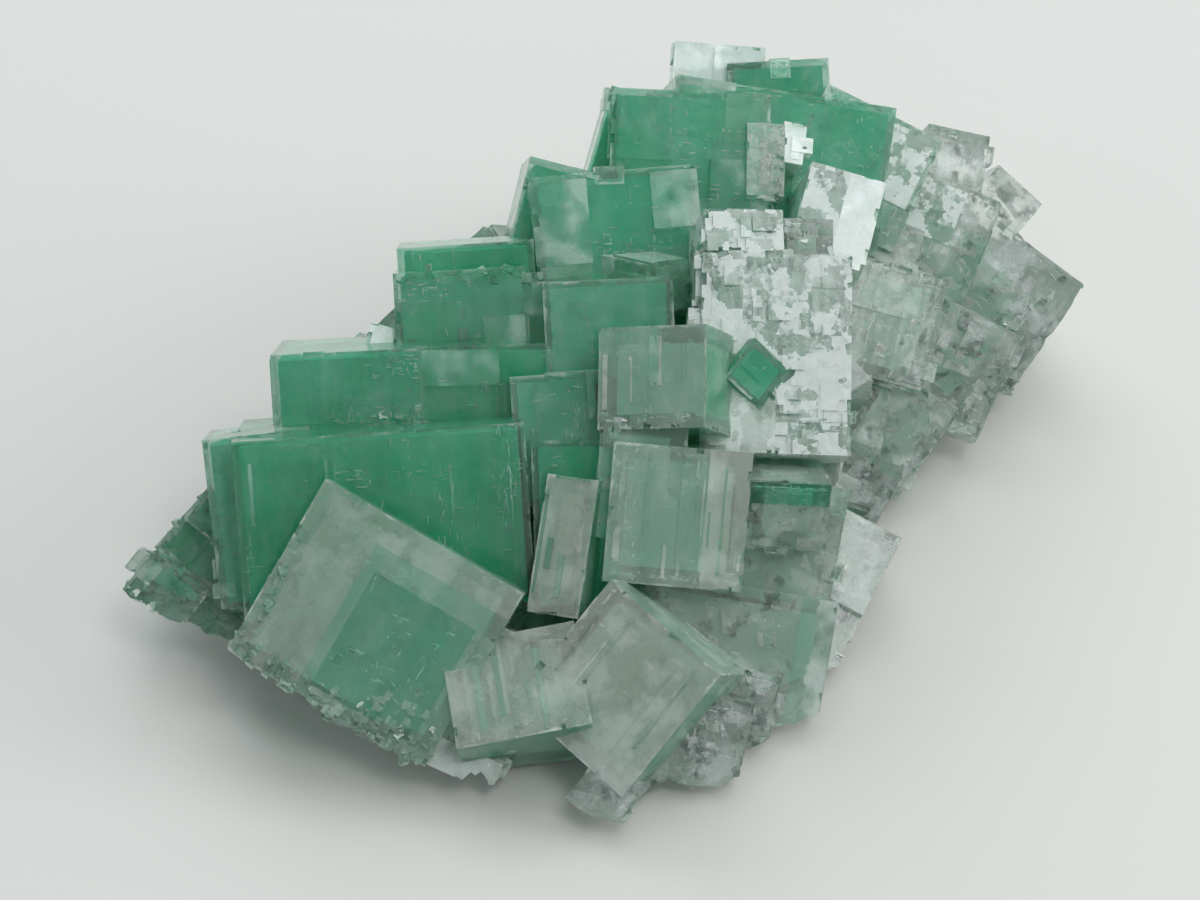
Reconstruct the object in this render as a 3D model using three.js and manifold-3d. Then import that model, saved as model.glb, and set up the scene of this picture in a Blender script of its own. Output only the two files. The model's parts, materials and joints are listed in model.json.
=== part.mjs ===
// A hand-sized cluster of cubic crystals that grew into and through one another, lying on the
// broken underside where it came off the rock. Everything is one piece of mineral, so every
// crystal is joined into one solid. Millimetres, +Z up.
import * as THREE from "three";
import { mergeVertices } from "three/addons/utils/BufferGeometryUtils.js";
import Module from "manifold-3d";

const wasm = await Module();
wasm.setup();

// Middle of the finished cluster's footprint, which is moved to the origin.
const MIDDLE = [2.9, 13];
const CRYSTAL = { color: 0x5fa78c, roughness: 0.2, metalness: 0 };
// Block taken away at each break, wider than the cluster and deeper than anything under it.
const BREAK_SPAN = 300;
const BREAK_DEPTH = 60;

// The crystals cover three slopes. Each slope has its middle somewhere, is turned about the
// upright and leans away from it. Within a slope +X runs right, +Y runs up and +Z comes out.
const FRONT = { at: [0, 0, 18.6], turn: 0, lean: 48 };
const BACK_LEFT = { at: [-11.5, 29.5, 11.5], turn: -132, lean: 50 };
const BACK_RIGHT = { at: [30, 48, 11], turn: 150, lean: 58 };

// Each crystal: the middle of its outer face, its width, height and depth, and how it is tipped
// (pitch looks down, yaw looks right, roll turns it within its own face).
const FRONT_CRYSTALS = [
  // left tip, thin overlapping wedges
  { at: [-40.5, -18, 1], size: [14, 8, 16], tip: [0, 0, -35] },
  { at: [-43.5, -14.5, 2], size: [7, 6, 12], tip: [4, -4, -39] },
  { at: [-38.5, -10, -1], size: [9.5, 8, 14], tip: [0, 3, -42] },
  { at: [-36, -5.5, 1], size: [7, 9, 14], tip: [5, 0, -38] },
  // big left crystal and the pointed one that grew out of it
  { at: [-33.5, -7, 4], size: [9.5, 17, 13], tip: [5, 4, 6] },
  { at: [-21, -7.5, 6.5], size: [28.5, 18.5, 20], tip: [7, 4, 3.5] },
  { at: [-21.5, -16.5, 12], size: [22, 19, 24], tip: [-2, -2, -30] },
  { at: [-15.5, -22.5, 13.5], size: [18, 15, 22], tip: [-6, 0, -20] },
  // stair of blocks up the left edge
  { at: [-25, 5, 1.5], size: [15, 9.5, 15], tip: [8, 2, 2.5] },
  { at: [-10, 5, 0], size: [18, 11, 22], tip: [6, 2, 1] },
  { at: [-4, 1, 3], size: [9, 13, 24], tip: [2, 4, 4] },
  { at: [-13.5, 16.5, -6], size: [14, 9, 10], tip: [8, 2, 3.5] },
  { at: [-14, 13.5, -4], size: [13.5, 9.5, 14], tip: [6, 2, 3.5] },
  { at: [-8, 12, -5], size: [12, 11, 24], tip: [4, 2, 2] },
  { at: [-22.5, 10, -5], size: [3, 5.5, 10], tip: [-12, 8, -14] },
  { at: [-5, 23, -11], size: [8, 13.5, 12], tip: [2, 6, -14] },
  { at: [2, 21, -9], size: [17, 15.5, 16], tip: [2, 7, 5] },
  { at: [3, 33, -17], size: [6.5, 10, 11], tip: [2, 4, -16] },
  { at: [9.5, 30.5, -16], size: [17, 15, 14], tip: [2, 5, -2] },
  // top
  { at: [19, 30.5, -20], size: [24, 16, 24], tip: [2, 4, -8] },
  { at: [28, 30.5, -21], size: [14, 13, 22], tip: [0, 4, -26] },
  { at: [13, 41.5, -25], size: [10, 6, 9], tip: [-12, 2, -4] },
  { at: [19.5, 38.5, -23], size: [11, 7.5, 11], tip: [0, -2, 3] },
  { at: [17.5, 30.5, -15], size: [4, 8, 12], tip: [-2, 4, -1] },
  { at: [20.5, 32.5, -16], size: [2.5, 4.5, 10], tip: [-12, 8, -8] },
  // faces that catch the light
  { at: [24.5, 24, -8], size: [8, 10, 16], tip: [-12, 6, -15] },
  { at: [14.5, 22, -1], size: [8, 4.5, 12], tip: [-12, 8, 1] },
  { at: [21, 21, -2], size: [5, 4.5, 12], tip: [-2, 4, -1] },
  { at: [17.5, 9.5, 2], size: [15, 20, 20], tip: [-10, 6, -1] },
  { at: [14, 15, 0], size: [9, 10, 16], tip: [-10, 6, -1] },
  // middle
  { at: [5, 7, 9], size: [11, 10, 16], tip: [-6, -20, -1] },
  { at: [7, 16.5, -4.5], size: [5, 5, 12], tip: [14, 38, 0] },
  { at: [16, 7.5, 4], size: [5, 5, 10], tip: [0, 20, -40] },
  { at: [7.5, -6.5, 10], size: [13.5, 13.5, 20], tip: [3, 3, -5] },
  { at: [4, -3, 8], size: [8.5, 11.5, 18], tip: [3, 3, -4] },
  { at: [-3, -9.5, 9], size: [6, 13.5, 16], tip: [-6, -14, -9] },
  { at: [18.5, -6.5, 5], size: [8, 7, 16], tip: [16, 4, -4] },
  { at: [16, -11, 2], size: [15, 11, 18], tip: [0, 4, -10] },
  // lower front
  { at: [1.5, -22.5, 15], size: [14, 15, 18], tip: [-4, -17, -40] },
  { at: [-7.5, -22.5, 16], size: [12, 10.5, 18], tip: [-30, -4, 12] },
  { at: [13, -19.5, 6], size: [19, 12.5, 22], tip: [0, 4, -10] },
  { at: [19.5, -12.5, -2.5], size: [16, 17, 22], tip: [-15, 4, -28] },
  { at: [9.5, -28, 11], size: [9, 9, 16], tip: [4, 2, -12] },
  { at: [13, -25, 8], size: [8, 7.5, 16], tip: [4, 2, -12] },
  { at: [0.5, -32.5, 15], size: [5.5, 5.5, 12], tip: [0, -10, -38] },
  // colourless right-hand slope
  { at: [39, 32, -26], size: [7, 6.5, 14], tip: [-10, 8, -10] },
  { at: [44.5, 27, -29], size: [6.5, 6.5, 14], tip: [0, 4, -42] },
  { at: [44, 16, -28], size: [13.5, 15, 20], tip: [0, 4, -36] },
  { at: [38, 9, -22], size: [11.5, 13, 22], tip: [0, 4, -24] },
  { at: [31, 2, -17], size: [9.5, 11.5, 20], tip: [0, 4, -36] },
  { at: [36, 23, -24], size: [12, 13, 22], tip: [0, 4, -22] },
  { at: [30.5, 13.5, -15], size: [10.5, 12.5, 20], tip: [-6, 8, -14] },
  { at: [25.5, -5, -10], size: [8, 11, 18], tip: [0, 4, -28] },
];

const BACK_LEFT_CRYSTALS = [
  { at: [28, -2, 1], size: [13, 13, 16], tip: [2, 8, 24] },
  { at: [17, 3, 3], size: [15, 16, 20], tip: [-6, -6, -12] },
  { at: [4, 6, 4], size: [16, 15, 22], tip: [4, 6, 30] },
  { at: [-9, 6, 4], size: [15, 16, 22], tip: [4, -8, -20] },
  { at: [-23, 8, 3], size: [16, 16, 22], tip: [-4, 6, 14] },
  { at: [9, -6, 6], size: [15, 13, 20], tip: [10, 6, -18] },
  { at: [-6, -6, 7], size: [14, 12, 20], tip: [12, -6, 38] },
  { at: [-19, -4, 5], size: [13, 13, 20], tip: [10, -8, -8] },
  { at: [21, -7, 3], size: [10, 10, 16], tip: [8, 12, 40] },
];

const BACK_RIGHT_CRYSTALS = [
  { at: [6, 4, 5], size: [17, 17, 24], tip: [2, 8, 16] },
  { at: [-7, 0, 5], size: [15, 15, 22], tip: [-6, -10, -24] },
  { at: [-17, -2, 0], size: [13, 13, 18], tip: [4, -14, 14] },
  { at: [0, -7, 8], size: [13, 10, 20], tip: [6, 2, -32] },
];

// The older crystals underneath that the outer ones grew on, in the front slope's frame.
const ROOT_CRYSTALS = [
  { at: [-2, 2, -7], size: [56, 26, 40], tip: [-29, 0, 36] },
  { at: [4, -14, 1], size: [36, 30, 40], tip: [-20, 0, -14] },
  { at: [20, 12, -15], size: [24, 34, 34], tip: [-24, 14, -12] },
  { at: [17, -4, -5], size: [14, 16, 24], tip: [-10, 0, -12] },
  { at: [8, 21, -16], size: [22, 18, 26], tip: [-10, 0, 8] },
];

// Flat breaks under the cluster: a point on each, and the way it faces.
const BREAKS = [
  { at: [-24, -27, 6], facing: [-0.56, -0.75, -0.38] },
  { at: [-41, -15, 6], facing: [-0.4, -0.35, -0.8] },
  { at: [6, -34, 0.5], facing: [0.05, -0.6, -0.8] },
  { at: [33, -9, 2], facing: [0.6, -0.45, -0.66] },
  { at: [44, 36, 3], facing: [0.72, 0.1, -0.69] },
  { at: [20, 58, 3], facing: [0.1, 0.7, -0.7] },
  { at: [-20, 30, 3], facing: [-0.6, 0.45, -0.66] },
  { at: [-28, -12, 2], facing: [-0.3, -0.1, -0.95] },
  { at: [-6, -28, 1.5], facing: [-0.12, -0.3, -0.95] },
  { at: [22, -12, 1.5], facing: [0.24, -0.16, -0.96] },
  { at: [38, 28, 2], facing: [0.28, 0.1, -0.95] },
  { at: [22, 48, 2], facing: [0.06, 0.3, -0.95] },
  { at: [-12, 30, 2], facing: [-0.28, 0.18, -0.94] },
  { at: [0, 0, 0], facing: [0, 0, -1] },
];

const radians = THREE.MathUtils.degToRad;

// A closed three.js geometry as a manifold-3d solid, and back again.
function solidOf(geometry) {
  const bare = geometry.clone();
  bare.deleteAttribute("normal");
  bare.deleteAttribute("uv");
  const merged = mergeVertices(bare);
  return new wasm.Manifold(
    new wasm.Mesh({
      numProp: 3,
      vertProperties: merged.attributes.position.array,
      triVerts: new Uint32Array(merged.index.array),
    }),
  );
}

function geometryOf(solid) {
  const faces = solid.getMesh();
  return new THREE.BufferGeometry()
    .setAttribute("position", new THREE.BufferAttribute(faces.vertProperties, 3))
    .setIndex(new THREE.BufferAttribute(faces.triVerts, 1));
}

function slopeFrame({ at, turn, lean }) {
  return new THREE.Matrix4()
    .makeRotationZ(radians(turn))
    .multiply(new THREE.Matrix4().makeRotationX(radians(lean)))
    .setPosition(...at);
}

function crystal({ at, size, tip }, slope) {
  const [width, height, depth] = size;
  const box = new THREE.BoxGeometry(width, height, depth);
  box.translate(0, 0, -depth / 2);
  const turn = new THREE.Euler(...tip.map(radians));
  box.applyMatrix4(new THREE.Matrix4().makeRotationFromEuler(turn));
  box.translate(...at);
  box.applyMatrix4(slope);
  return solidOf(box);
}

function crystalsOn(slope, crystals) {
  const frame = slopeFrame(slope);
  return crystals.map((one) => crystal(one, frame));
}

function brokenOff({ at, facing }) {
  const block = new THREE.BoxGeometry(BREAK_SPAN, BREAK_SPAN, BREAK_DEPTH);
  block.translate(0, 0, BREAK_DEPTH / 2);
  const out = new THREE.Vector3(...facing).normalize();
  const turn = new THREE.Quaternion().setFromUnitVectors(new THREE.Vector3(0, 0, 1), out);
  block.applyQuaternion(turn);
  block.translate(...at);
  return solidOf(block);
}

function crystalCluster() {
  const grown = [
    ...crystalsOn(FRONT, ROOT_CRYSTALS),
    ...crystalsOn(FRONT, FRONT_CRYSTALS),
    ...crystalsOn(BACK_LEFT, BACK_LEFT_CRYSTALS),
    ...crystalsOn(BACK_RIGHT, BACK_RIGHT_CRYSTALS),
  ];
  const whole = grown.reduce((joined, next) => joined.add(next));
  const broken = BREAKS.map(brokenOff).reduce((left, next) => left.subtract(next), whole);
  const mesh = new THREE.Mesh(
    geometryOf(broken.translate(-MIDDLE[0], -MIDDLE[1], 0)),
    new THREE.MeshStandardMaterial(CRYSTAL),
  );
  mesh.name = "crystal_cluster";
  return mesh;
}

const part = new THREE.Group();
part.add(crystalCluster());

export default part;
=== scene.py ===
import json
import math
import random

import bpy
from mathutils import Matrix, Vector, noise

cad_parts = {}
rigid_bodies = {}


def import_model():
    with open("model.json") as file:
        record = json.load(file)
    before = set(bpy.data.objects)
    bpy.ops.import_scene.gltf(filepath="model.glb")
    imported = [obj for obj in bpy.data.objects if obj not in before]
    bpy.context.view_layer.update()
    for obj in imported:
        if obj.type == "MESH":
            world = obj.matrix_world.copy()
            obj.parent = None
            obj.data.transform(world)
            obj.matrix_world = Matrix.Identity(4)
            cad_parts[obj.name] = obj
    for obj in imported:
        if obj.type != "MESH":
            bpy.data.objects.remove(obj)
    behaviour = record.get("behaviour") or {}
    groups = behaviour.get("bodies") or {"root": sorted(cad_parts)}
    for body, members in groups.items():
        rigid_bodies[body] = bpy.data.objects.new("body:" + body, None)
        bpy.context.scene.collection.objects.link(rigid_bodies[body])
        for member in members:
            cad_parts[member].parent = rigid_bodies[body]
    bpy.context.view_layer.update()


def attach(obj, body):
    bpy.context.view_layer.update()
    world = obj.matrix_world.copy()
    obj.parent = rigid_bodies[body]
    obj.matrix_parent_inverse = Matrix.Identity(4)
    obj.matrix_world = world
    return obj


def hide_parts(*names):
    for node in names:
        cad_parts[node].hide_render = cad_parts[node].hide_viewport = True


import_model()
scene = bpy.context.scene

mm = 0.001
middle = Vector((2.9, 13, 0))  # middle of the footprint, moved to the origin as in the CAD
rootDepth = 30  # a block deeper than this is an old crystal underneath, not one of the outer ones
noRim = 6.0  # added to the half size of a face, so that it shows no pale rim
squareSigns = ((-1, -1), (1, -1), (1, 1), (-1, 1))


# an sRGB colour such as "#36cf98" as linear light
def linear(hexColour, alpha=1.0):
    parts = [int(hexColour[i : i + 2], 16) / 255 for i in (1, 3, 5)]
    return (*[p / 12.92 if p <= 0.04045 else ((p + 0.055) / 1.055) ** 2.4 for p in parts], alpha)


# a new node: an input may be a value, a socket or another node, which gives its first output
def add(tree, kind, inputs=None, **settings):
    made = tree.nodes.new(kind)
    for key, value in settings.items():
        setattr(made, key, value)
    for key, value in (inputs or {}).items():
        value = value.outputs[0] if isinstance(value, bpy.types.Node) else value
        if isinstance(value, bpy.types.NodeSocket):
            tree.links.new(value, made.inputs[key])
        else:
            made.inputs[key].default_value = value
    return made


# a named material with an empty tree
def newMaterial(name):
    material = bpy.data.materials.new(name)
    material.use_nodes = True
    material.node_tree.nodes.clear()
    return material, material.node_tree


studio = {
    "cameraAt": (-2.9, -211.2, 197.0),
    "cameraTilt": 48,
    "lens": 80,
    "world": "#c9d2d6",
    "worldStrength": 0.5,
    "sun": (0.12, 0.3, 0.95),
    "sunStrength": 1.0,
    "sunAngle": 50,
    "floor": "#c6c5c1",
    "floorReach": 6.0,
    # name, direction from the cluster, distance mm, width mm, radiance, colour
    "lights": [
        ("key", (0.27, -0.41, 0.87), 520, 170, 6.9, "#ffffff"),
        ("front", (0.1, -0.86, 0.5), 640, 240, 0.6, "#ffffff"),
        ("back", (-0.25, 0.75, 0.62), 620, 420, 3.3, "#f2fbff"),
        ("right", (0.92, 0.05, 0.42), 600, 380, 4.0, "#ffffff"),
        ("left", (-0.9, -0.25, 0.36), 620, 300, 1.2, "#f4fbff"),
    ],
}


# a plain pale floor, a soft room and five soft lamps
def makeStudio():
    lens = bpy.data.cameras.new("camera")
    lens.lens = studio["lens"]
    lens.sensor_width = 36
    lens.clip_start = 0.005
    camera = bpy.data.objects.new("camera", lens)
    camera.location = Vector(studio["cameraAt"]) * mm
    camera.rotation_euler = (math.radians(studio["cameraTilt"]), 0, 0)
    scene.collection.objects.link(camera)
    scene.camera = camera

    world = bpy.data.worlds.new("soft room")
    world.use_nodes = True
    sky = world.node_tree.nodes["Background"]
    sky.inputs["Color"].default_value = linear(studio["world"])
    sky.inputs["Strength"].default_value = studio["worldStrength"]
    scene.world = world

    centre = Vector((0, 0, 15))
    for name, direction, distance, width, radiance, colour in studio["lights"]:
        lamp = bpy.data.lights.new(name, "AREA")
        lamp.size = width * mm
        lamp.energy = radiance * math.pi * (width * mm) ** 2
        lamp.color = linear(colour)[:3]
        box = bpy.data.objects.new(name, lamp)
        out = Vector(direction).normalized()
        box.location = (centre + out * distance) * mm
        box.rotation_euler = out.to_track_quat("Z", "Y").to_euler()
        scene.collection.objects.link(box)

    soft = bpy.data.lights.new("soft sun", "SUN")
    soft.energy = studio["sunStrength"]
    soft.angle = math.radians(studio["sunAngle"])
    sun = bpy.data.objects.new("soft sun", soft)
    sun.rotation_euler = Vector(studio["sun"]).to_track_quat("Z", "Y").to_euler()
    scene.collection.objects.link(sun)

    reach = studio["floorReach"]
    data = bpy.data.meshes.new("floor")
    data.from_pydata([(x * reach, y * reach, 0) for x, y in squareSigns], [], [(0, 1, 2, 3)])
    floor = bpy.data.objects.new("floor", data)
    scene.collection.objects.link(floor)
    # matte paint: an even pale ground with no gloss of its own
    paint, tree = newMaterial("matte painted board")
    settings = {"Base Color": linear(studio["floor"]), "Roughness": 0.85}
    shader = add(tree, "ShaderNodeBsdfPrincipled", settings)
    add(tree, "ShaderNodeOutputMaterial", {"Surface": shader})
    data.materials.append(paint)
    scene.view_settings.view_transform = "Standard"
    print("studio:", len(studio["lights"]), "lamps")


makeStudio()

# where each face of the cluster lies: a point on it, its turn and its lean (mm and degrees)
slopes = {
    "front": ((0, 0, 18.6), 0, 48),
    "backLeft": ((-11.5, 29.5, 11.5), -132, 50),
    "backRight": ((30, 48, 11), 150, 58),
}

# how a crystal looks: colour of its outer face and of its sides, how clear it is, how frosted and how etched
# its faces are, how much it shows dark rock specks and painted dark refraction, the green zone in its heart,
# and how many growth plates its faces carry
habitParts = ("face", "side", "clear", "frost", "etch", "specksAndDarkRefraction", "heart", "plates")
habitRows = {
    "deep": ("#3fd9b0", "#33c49c", 0.91, 0.05, 0.1, 0.1, "emerald", 1),
    "green": ("#8adcc2", "#4fcaa4", 0.88, 0.12, 0.2, 0.18, "emerald", 2),
    "pale": ("#a3d8c0", "#5cc49c", 0.8, 0.2, 0.25, 0.15, "soft", 2),
    "moss": ("#6ea78c", "#45a27d", 0.84, 0.16, 0.45, 0.6, "emerald", 3),
    "frosty": ("#c4d6c9", "#a5d0bb", 0.74, 0.5, 0.55, 0.35, "soft", 4),
    "satin": ("#dddcd1", "#4fbb92", 0.72, 0.34, 0.14, 0.14, "soft", 1),
    # painted shade: a darker copy of satin for crystals set at another angle to the light
    "satinInPaintedShade": ("#b2bdb0", "#4fb892", 0.74, 0.28, 0.2, 0.16, "soft", 1),
    "jade": ("#abd3bf", "#3fb98d", 0.76, 0.16, 0.14, 0.12, "soft", 1),
    "grey": ("#dbe1db", "#b5dccb", 0.88, 0.42, 0.35, 0.6, "soft", 2),
    "clear": ("#f7f6f4", "#e6eee9", 0.97, 0.5, 0.3, 0.85, None, 3),
    "mosaic": ("#b5cbc0", "#54b894", 0.72, 0.15, 1.0, 0.15, "soft", 1),
    # painted highlight: faces that mirror the key lamp, and small crust cubes that sparkle, are coloured
    # near-white with no green zone
    "bright": ("#e4edec", "#38b888", 0.4, 0.5, 0.55, 0, None, 1),
}
habits = {name: dict(zip(habitParts, row)) for name, row in habitRows.items()}

# each crystal: middle of its outer face, width, height and depth, tip, and habit
frontCrystals = [
    ((-40.5, -18, 1), (14, 8, 16), (0, 0, -35), "moss"),
    ((-43.5, -14.5, 2), (7, 6, 12), (4, -4, -39), "moss"),
    ((-38.5, -10, -1), (9.5, 8, 14), (0, 3, -42), "moss"),
    ((-36, -5.5, 1), (7, 9, 14), (5, 0, -38), "moss"),
    ((-33.5, -7, 4), (9.5, 17, 13), (5, 4, 6), "green"),
    ((-21, -7.5, 6.5), (28.5, 18.5, 20), (7, 4, 3.5), "deep"),
    ((-21.5, -16.5, 12), (22, 19, 24), (-2, -2, -30), "satinInPaintedShade"),
    ((-15.5, -22.5, 10.9), (18, 15, 22), (-2, 0, -24), "frosty"),
    ((-25, 5, 1.5), (15, 9.5, 15), (8, 2, 2.5), "green"),
    ((-10, 5, 0), (18, 11, 22), (6, 2, 1), "deep"),
    ((-4, 1, 3), (9, 13, 24), (2, 4, 4), "green"),
    ((-13.5, 16.5, -6), (14, 9, 10), (8, 2, 3.5), "deep"),
    ((-14, 13.5, -4), (13.5, 9.5, 14), (6, 2, 3.5), "green"),
    ((-8, 12, -5), (12, 11, 24), (4, 2, 2), "green"),
    ((-22.5, 10, -5), (3, 5.5, 10), (-12, 8, -14), "bright"),
    ((-5, 23, -11), (8, 13.5, 12), (2, 6, -14), "green"),
    ((2, 21, -9), (17, 15.5, 16), (2, 7, 5), "green"),
    ((3, 33, -17), (6.5, 10, 11), (2, 4, -16), "deep"),
    ((9.5, 30.5, -16), (17, 15, 14), (2, 5, -2), "green"),
    ((19, 30.5, -20), (24, 16, 24), (2, 4, -8), "green"),
    ((28, 30.5, -21), (14, 13, 22), (0, 4, -26), "pale"),
    ((13, 41.5, -25), (10, 6, 9), (-12, 2, -4), "bright"),
    ((19.5, 38.5, -23), (11, 7.5, 11), (0, -2, 3), "green"),
    ((17.5, 30.5, -15), (4, 8, 12), (-2, 4, -1), "grey"),
    ((20.5, 32.5, -16), (2.5, 4.5, 10), (-12, 8, -8), "bright"),
    ((24.5, 24, -8), (8, 10, 16), (-12, 6, -15), "bright"),
    ((14.5, 22, -1), (8, 4.5, 12), (-12, 8, 1), "mosaic"),
    ((21, 21, -2), (5, 4.5, 12), (-2, 4, -1), "grey"),
    ((17.5, 9.5, 2), (15, 20, 20), (-5.5, 2, -1), "mosaic"),
    ((14, 15, 0), (9, 10, 16), (-5.5, 2, -1), "mosaic"),
    ((5, 7, 9), (11, 10, 16), (-6, -20, -1), "jade"),
    ((7, 16.5, -4.5), (5, 5, 12), (14, 38, 0), "pale"),
    ((15.6, 7.5, 3.4), (5, 5, 10), (0, 20, -40), "green"),
    ((7.5, -6.5, 10), (13.5, 13.5, 20), (3, 3, -5), "jade"),
    ((4, -3, 8), (8.5, 11.5, 18), (3, 3, -4), "pale"),
    ((-3.6, -9.3, 9.2), (5.2, 13.5, 16), (-6, -14, -9), "satin"),
    ((1, 11.5, 0.5), (13, 11, 16), (4, 2, 3), "green"),
    ((-2, -7.5, 5.5), (9, 17, 14), (0, 4, 2), "deep"),
    ((18.5, -6.5, 5), (8, 7, 16), (16, 4, -4), "grey"),
    ((16, -11, 2), (15, 11, 18), (0, 4, -10), "grey"),
    ((1.5, -22.5, 15), (14, 15, 18), (-4, -17, -40), "satin"),
    ((-8, -22.3, 13.5), (13, 10.5, 18), (-24, -4, 10), "satinInPaintedShade"),
    ((13, -19.5, 6), (19, 12.5, 22), (0, 4, -10), "grey"),
    ((19.5, -12.5, -2.5), (16, 17, 22), (-15, 4, -28), "clear"),
    ((9.5, -28, 11), (9, 9, 16), (4, 2, -12), "clear"),
    ((13, -25, 8), (8, 7.5, 16), (4, 2, -12), "clear"),
    ((0.5, -32.5, 15), (5.5, 5.5, 12), (0, -10, -38), "clear"),
    ((39, 32, -26), (7, 6.5, 14), (-10, 8, -10), "clear"),
    ((44.5, 27, -29), (6.5, 6.5, 14), (0, 4, -42), "clear"),
    ((44, 16, -28), (13.5, 15, 20), (0, 4, -36), "clear"),
    ((38, 9, -22), (11.5, 13, 22), (0, 4, -24), "clear"),
    ((31, 2, -17), (9.5, 11.5, 20), (0, 4, -36), "grey"),
    ((36, 23, -24), (12, 13, 22), (0, 4, -22), "clear"),
    ((30.5, 13.5, -15), (10.5, 12.5, 20), (-6, 8, -14), "grey"),
    ((25.5, -5, -10), (8, 11, 18), (0, 4, -28), "clear"),
]

backLeftCrystals = [
    ((28, -2, 1), (13, 13, 16), (2, 8, 24), "green"),
    ((17, 3, 3), (15, 16, 20), (-6, -6, -12), "green"),
    ((4, 6, 4), (16, 15, 22), (4, 6, 30), "pale"),
    ((-9, 6, 4), (15, 16, 22), (4, -8, -20), "green"),
    ((-23, 8, 3), (16, 16, 22), (-4, 6, 14), "pale"),
    ((9, -6, 6), (15, 13, 20), (10, 6, -18), "pale"),
    ((-6, -6, 7), (14, 12, 20), (12, -6, 38), "frosty"),
    ((-19, -4, 5), (13, 13, 20), (10, -8, -8), "green"),
    ((21, -7, 3), (10, 10, 16), (8, 12, 40), "frosty"),
]

backRightCrystals = [
    ((6, 4, 5), (17, 17, 24), (2, 8, 16), "clear"),
    ((-7, 0, 5), (15, 15, 22), (-6, -10, -24), "pale"),
    ((-17, -2, 0), (13, 13, 18), (4, -14, 14), "grey"),
    ((0, -7, 8), (13, 10, 20), (6, 2, -32), "clear"),
]

rootCrystals = [
    ((-2, 2, -7), (56, 26, 40), (-29, 0, 36), "grey"),
    ((4, -14, 1), (36, 30, 40), (-20, 0, -14), "pale"),
    ((20, 12, -15), (24, 34, 34), (-24, 14, -12), "clear"),
    ((17, -4, -5), (14, 16, 24), (-10, 0, -12), "grey"),
    ((8, 21, -16), (22, 18, 26), (-10, 0, 8), "green"),
]

# flat breaks underneath: a point on each and the way it faces
breaks = [
    ((-24, -27, 6), (-0.56, -0.75, -0.38)),
    ((-41, -15, 6), (-0.4, -0.35, -0.8)),
    ((6, -34, 0.5), (0.05, -0.6, -0.8)),
    ((33, -9, 2), (0.6, -0.45, -0.66)),
    ((44, 36, 3), (0.72, 0.1, -0.69)),
    ((20, 58, 3), (0.1, 0.7, -0.7)),
    ((-20, 30, 3), (-0.6, 0.45, -0.66)),
    ((-28, -12, 2), (-0.3, -0.1, -0.95)),
    ((-6, -28, 1.5), (-0.12, -0.3, -0.95)),
    ((22, -12, 1.5), (0.24, -0.16, -0.96)),
    ((38, 28, 2), (0.28, 0.1, -0.95)),
    ((22, 48, 2), (0.06, 0.3, -0.95)),
    ((-12, 30, 2), (-0.28, 0.18, -0.94)),
    ((0, 0, 0), (0, 0, -1)),
]

# each side of a box: the axis it faces, which way, and the two axes across it
boxSides = [(0, 1, 1, 2), (0, -1, 2, 1), (1, 1, 2, 0), (1, -1, 0, 2), (2, 1, 0, 1), (2, -1, 1, 0)]
boxSigns = [(x, y, z) for x in (-1, 1) for y in (-1, 1) for z in (-1, 1)]


# where a crystal's outer face lies: x right, y up the slope, z out of it, in mm
def placeOf(slope, at, tip):
    where, turn, lean = slopes[slope]
    pitch, yaw, roll = (math.radians(a) for a in tip)
    return (
        Matrix.Translation(Vector(where) - middle)
        @ Matrix.Rotation(math.radians(turn), 4, "Z")
        @ Matrix.Rotation(math.radians(lean), 4, "X")
        @ Matrix.Translation(at)
        @ Matrix.Rotation(pitch, 4, "X")
        @ Matrix.Rotation(yaw, 4, "Y")
        @ Matrix.Rotation(roll, 4, "Z")
    )


# a colour and a clearness for each side of a box, a little lighter or darker by chance; the side facing up
# the slope is mixed towards pale, a painted highlight of the light from above
def tintsOf(habit, chance=None, wash=0.0):
    look = habits[habit]
    face, side = (Vector(linear(look[k])[:3]) for k in ("face", "side"))
    shade = 1 + (chance.uniform(-0.1, 0.1) if chance else 0)
    pale = Vector(linear("#d3dbd4")[:3])
    # painted highlight: the upper side is lighter because the light falls from above
    other = {(2, 1): face, (1, 1): side.lerp(pale, 0.45)}
    tones = (other.get(facing[:2], side).lerp(pale, wash) * shade for facing in boxSides)
    return [(*tone, look["clear"]) for tone in tones]


# frost, varied by chance between two values, etch, dusk and a free chance value
def lookOf(habit, chance, *vary):
    look = habits[habit]
    frost = look["frost"] + (chance.uniform(*vary) if vary else 0)
    return (frost, look["etch"], look["specksAndDarkRefraction"], chance.random())


# what the skin's material reads: mm across each face, half its size, its look and its tint
def carry(data, across, halves, look, tint):
    data.uv_layers.new(name="faceMm").uv.foreach_set("vector", across)
    data.uv_layers.new(name="halfMm").uv.foreach_set("vector", halves)
    data.color_attributes.new("look", "FLOAT_COLOR", "CORNER").data.foreach_set("color", look)
    data.color_attributes.new("tint", "FLOAT_COLOR", "CORNER").data.foreach_set("color", tint)


# a box that carries what its material reads
def blockMesh(name, place, low, high, look, tints, rim=0.0):
    low, high = Vector(low), Vector(high)
    centre, half = (low + high) / 2, (high - low) / 2
    corners = [place @ (centre + Vector(s[i] * half[i] for i in range(3))) * mm for s in boxSigns]
    index = {s: i for i, s in enumerate(boxSigns)}
    faces, across, halves, tones = [], [], [], []
    for (axis, sign, a, b), tint in zip(boxSides, tints):
        ring = []
        for sa, sb in squareSigns:
            key = [0, 0, 0]
            key[axis], key[a], key[b] = sign, sa, sb
            ring.append(index[tuple(key)])
            across.extend((centre[a] + sa * half[a], centre[b] + sb * half[b]))
            halves.extend((half[a] + rim, half[b] + rim))
            tones.extend(tint)
        faces.append(ring)
    data = bpy.data.meshes.new(name)
    data.from_pydata(corners, [], faces)
    carry(data, across, halves, list(look) * 24, tones)
    return data


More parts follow.
